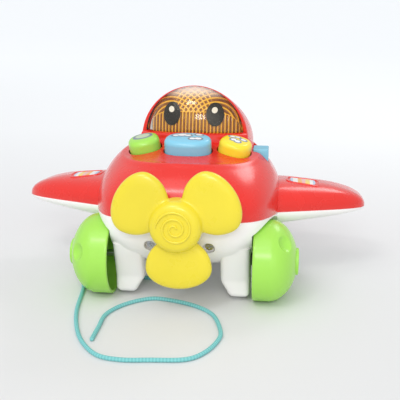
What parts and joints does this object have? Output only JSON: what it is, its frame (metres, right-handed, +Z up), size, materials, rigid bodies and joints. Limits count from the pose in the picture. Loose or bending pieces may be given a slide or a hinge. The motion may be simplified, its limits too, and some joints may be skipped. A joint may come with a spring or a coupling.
{
  "type": "toy aeroplane",
  "caption": "Chunky pull-along toy aeroplane with a spinning propeller, rolling wheels, push buttons, a slide switch, a round amber windshield under a hood, and a pull cord.",
  "frame": {"origin": "on the floor under the centre of the toy's box, measured without the pull cord", "axes": "+X towards the wing on the slide switch's side, +Y towards the tail, +Z up; the nose points to -Y"},
  "size_m": [0.28, 0.308, 0.1525],
  "materials": {
    "red_shell": "glossy moulded plastic",
    "white_shell": "satin moulded plastic",
    "amber_lens": "clear amber plastic",
    "gold_insert": "ribbed golden reflector",
    "black_eyes": "glossy print",
    "lamp": "diffusing",
    "green_plastic": "satin moulded plastic",
    "blue_plastic": "satin moulded plastic",
    "yellow_plastic": "glossy moulded plastic",
    "switch_rubber": "matte",
    "circuit_board": "solder mask",
    "steel": "plated",
    "grey_plastic": "matte",
    "cells": "plain sleeve",
    "label_film": "plain stripes",
    "cord": "braided"
  },
  "bodies": {
    "chassis": {"upper_shell": "red_shell", "lower_shell": "white_shell", "canopy_hood": "red_shell", "windshield": "amber_lens", "lens_insert": "gold_insert", "eyes": "black_eyes", "canopy_lamp": "lamp", "green_switch_dome": "switch_rubber", "blue_switch_dome": "switch_rubber", "yellow_switch_dome": "switch_rubber", "button_board": "circuit_board", "slide_switch": "grey_plastic", "propeller_bush": "grey_plastic", "nose_screws": "steel", "axle_bushes": "grey_plastic", "left_wing_top": "red_shell", "left_wing_bottom": "white_shell", "right_wing_top": "red_shell", "right_wing_bottom": "white_shell", "left_wing_label": "label_film", "right_wing_label": "label_film", "tail_fin": "red_shell", "tailplane": "red_shell", "battery_box": "grey_plastic", "battery_door": "white_shell", "batteries": "cells", "battery_contacts": "steel", "door_screw": "steel", "main_board": "circuit_board", "speaker": "grey_plastic", "shell_screws": "steel", "cord_anchor": "grey_plastic", "pull_cord": "cord"},
    "propeller_set": {"propeller": "yellow_plastic", "propeller_shaft": "steel", "shaft_clip": "steel"},
    "front_wheel_set": {"left_front_wheel": "green_plastic", "right_front_wheel": "green_plastic", "left_hub_cap": "green_plastic", "right_hub_cap": "green_plastic", "front_axle": "steel"},
    "tail_wheel_set": {"left_tail_wheel": "green_plastic", "right_tail_wheel": "green_plastic", "tail_axle": "steel"},
    "green_button": {"green_button": "green_plastic"},
    "blue_button": {"blue_button": "blue_plastic"},
    "yellow_button": {"yellow_button": "yellow_plastic"},
    "slider_knob": {"slider_knob": "blue_plastic"}
  },
  "joints": [
    {"name": "propeller_spin", "type": "hinge", "parent": "chassis", "child": "propeller_set", "pos_m": [0, -0.1125, 0.069], "axis": [0, -1, 0], "continuous": true},
    {"name": "front_wheels_roll", "type": "hinge", "parent": "chassis", "child": "front_wheel_set", "pos_m": [0, -0.0735, 0.031], "axis": [1, 0, 0], "continuous": true},
    {"name": "tail_wheels_roll", "type": "hinge", "parent": "chassis", "child": "tail_wheel_set", "pos_m": [0, 0.072, 0.014], "axis": [1, 0, 0], "continuous": true},
    {"name": "green_button_press", "type": "slide", "parent": "chassis", "child": "green_button", "axis": [0.1724, 0.1366, -0.9755], "range_m": [0, 0.0025], "stiffness_N_per_m": 400, "deforming": ["green_switch_dome"]},
    {"name": "blue_button_press", "type": "slide", "parent": "chassis", "child": "blue_button", "axis": [0, 0.1386, -0.9903], "range_m": [0, 0.0025], "stiffness_N_per_m": 400, "deforming": ["blue_switch_dome"]},
    {"name": "yellow_button_press", "type": "slide", "parent": "chassis", "child": "yellow_button", "axis": [-0.1724, 0.1366, -0.9755], "range_m": [0, 0.0025], "stiffness_N_per_m": 400, "deforming": ["yellow_switch_dome"]},
    {"name": "knob_slide", "type": "slide", "parent": "chassis", "child": "slider_knob", "axis": [0, 1, 0], "range_m": [0, 0.01]}
  ]
}
